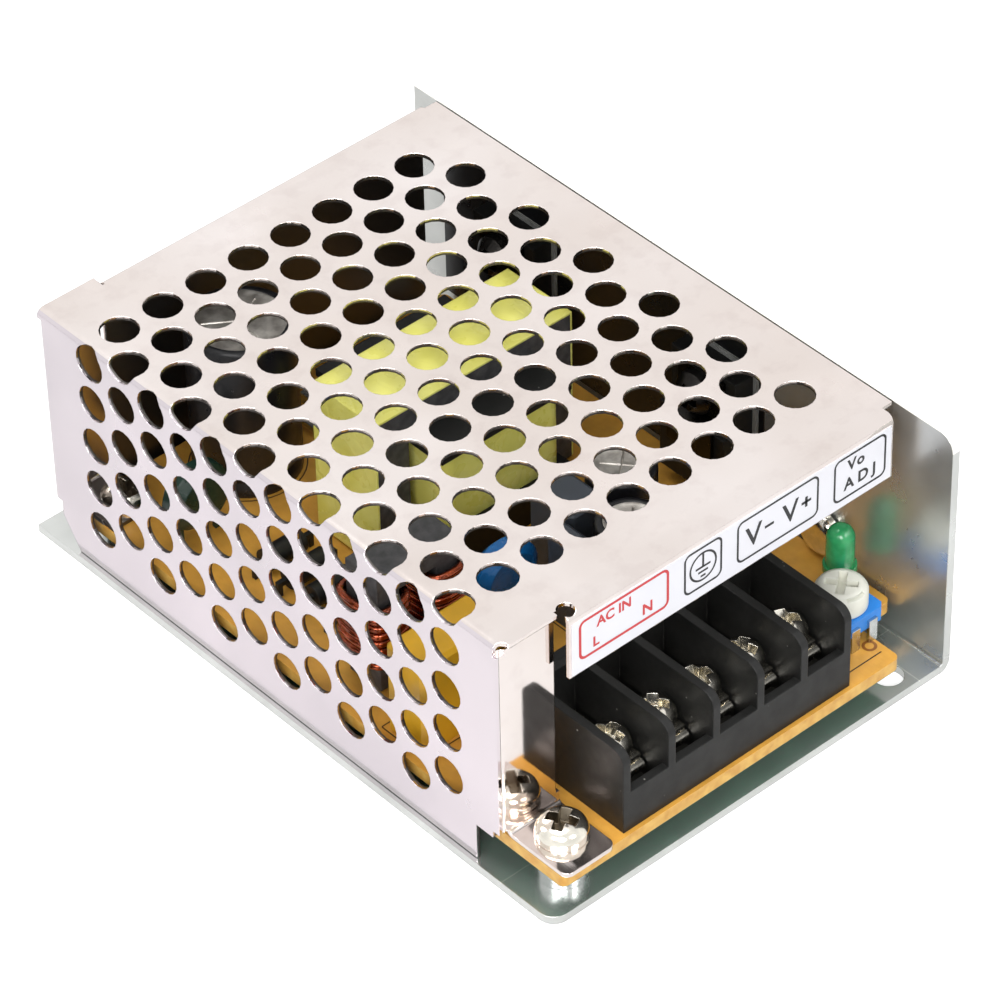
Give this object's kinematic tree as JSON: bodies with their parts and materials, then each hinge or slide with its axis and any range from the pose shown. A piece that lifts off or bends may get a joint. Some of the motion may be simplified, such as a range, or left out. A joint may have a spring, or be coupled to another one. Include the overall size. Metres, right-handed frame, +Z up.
{
  "type": "switching power supply",
  "caption": "Enclosed mains power supply: folded aluminium chassis, perforated cover, screw terminals with barriers, voltage trimmer and indicator lamp.",
  "frame": {"origin": "centre of the chassis base in plan, on its underside", "axes": "+Y from the terminals to the back, along the length; +Z up, out of the mounting face; +X towards the chassis side wall"},
  "size_m": [0.058, 0.085, 0.033],
  "materials": {
    "chassis": "brushed",
    "cover": "satin",
    "label_strip": "satin film",
    "circuit_board": "amber laminate",
    "nickel": "nickel plated",
    "steel": "zinc plated",
    "black_moulding": "black flame-retardant moulding",
    "blue_moulding": "blue",
    "white_moulding": "off-white",
    "green_lens": "translucent green",
    "ferrite": "grey ferrite",
    "yellow_tape": "yellow film",
    "sleeve": "shrink sleeve",
    "yellow_case": "yellow",
    "blue_coating": "blue epoxy",
    "copper": "enamelled copper wire",
    "slate": "dark slate",
    "pad": "grey silicone",
    "green_coating": "dark green epoxy"
  },
  "bodies": {
    "supply": {"chassis": "chassis", "cover": "cover", "label_strip": "label_strip", "circuit_board": "circuit_board", "standoffs": "steel", "board_screws": "nickel", "terminal_block": "black_moulding", "terminal_plates": "nickel", "trimmer_base": "blue_moulding", "trimmer_legs": "steel", "lamp_lens": "green_lens", "lamp_leads": "steel", "transformer_core": "ferrite", "transformer_bobbin": "black_moulding", "transformer_coil": "yellow_tape", "transformer_tape": "yellow_tape", "bulk_capacitor": "sleeve", "output_capacitors": "sleeve", "x_capacitor": "yellow_case", "y_capacitor": "blue_coating", "choke_core": "ferrite", "choke_windings": "copper", "output_inductor": "slate", "film_capacitor": "slate", "output_rectifier": "black_moulding", "power_transistor": "black_moulding", "insulator_pads": "pad", "spring_clips": "steel", "clip_screws": "nickel", "wall_screw": "nickel", "rectifier_diodes": "black_moulding", "resistors": "slate", "fuse": "black_moulding", "optocoupler": "black_moulding", "wire_links": "steel", "thermistor": "green_coating"},
    "rotor": {"trimmer_rotor": "white_moulding"},
    "clamp_1": {"clamp_washer_1": "nickel"},
    "screw_1": {"terminal_screw_1": "nickel"},
    "clamp_2": {"clamp_washer_2": "nickel"},
    "screw_2": {"terminal_screw_2": "nickel"},
    "clamp_3": {"clamp_washer_3": "nickel"},
    "screw_3": {"terminal_screw_3": "nickel"},
    "clamp_4": {"clamp_washer_4": "nickel"},
    "screw_4": {"terminal_screw_4": "nickel"},
    "clamp_5": {"clamp_washer_5": "nickel"},
    "screw_5": {"terminal_screw_5": "nickel"}
  },
  "joints": [
    {"name": "trimmer_turn", "type": "hinge", "parent": "supply", "child": "rotor", "pos_m": [0.0202, -0.0345, 0.0096], "axis": [0, 0, 1], "range_deg": [-105, 105]},
    {"name": "clamp_lift_1", "type": "slide", "parent": "supply", "child": "clamp_1", "axis": [0, 0, 1], "range_m": [0, 0.0024]},
    {"name": "screw_turn_1", "type": "hinge", "parent": "clamp_1", "child": "screw_1", "pos_m": [-0.01443, -0.0352, 0.0113], "axis": [0, 0, 1], "range_deg": [0, 1730]},
    {"name": "clamp_lift_2", "type": "slide", "parent": "supply", "child": "clamp_2", "axis": [0, 0, 1], "range_m": [0, 0.0024]},
    {"name": "screw_turn_2", "type": "hinge", "parent": "clamp_2", "child": "screw_2", "pos_m": [-0.00808, -0.0352, 0.0113], "axis": [0, 0, 1], "range_deg": [0, 1730]},
    {"name": "clamp_lift_3", "type": "slide", "parent": "supply", "child": "clamp_3", "axis": [0, 0, 1], "range_m": [0, 0.0024]},
    {"name": "screw_turn_3", "type": "hinge", "parent": "clamp_3", "child": "screw_3", "pos_m": [-0.00172, -0.0352, 0.0113], "axis": [0, 0, 1], "range_deg": [0, 1730]},
    {"name": "clamp_lift_4", "type": "slide", "parent": "supply", "child": "clamp_4", "axis": [0, 0, 1], "range_m": [0, 0.0024]},
    {"name": "screw_turn_4", "type": "hinge", "parent": "clamp_4", "child": "screw_4", "pos_m": [0.00462, -0.0352, 0.0113], "axis": [0, 0, 1], "range_deg": [0, 1730]},
    {"name": "clamp_lift_5", "type": "slide", "parent": "supply", "child": "clamp_5", "axis": [0, 0, 1], "range_m": [0, 0.0024]},
    {"name": "screw_turn_5", "type": "hinge", "parent": "clamp_5", "child": "screw_5", "pos_m": [0.01098, -0.0352, 0.0113], "axis": [0, 0, 1], "range_deg": [0, 1730]}
  ],
  "couplings": [
    {"joint": "screw_turn_1", "follows": "clamp_lift_1", "rad_per_m": 12566},
    {"joint": "screw_turn_2", "follows": "clamp_lift_2", "rad_per_m": 12566},
    {"joint": "screw_turn_3", "follows": "clamp_lift_3", "rad_per_m": 12566},
    {"joint": "screw_turn_4", "follows": "clamp_lift_4", "rad_per_m": 12566},
    {"joint": "screw_turn_5", "follows": "clamp_lift_5", "rad_per_m": 12566}
  ]
}
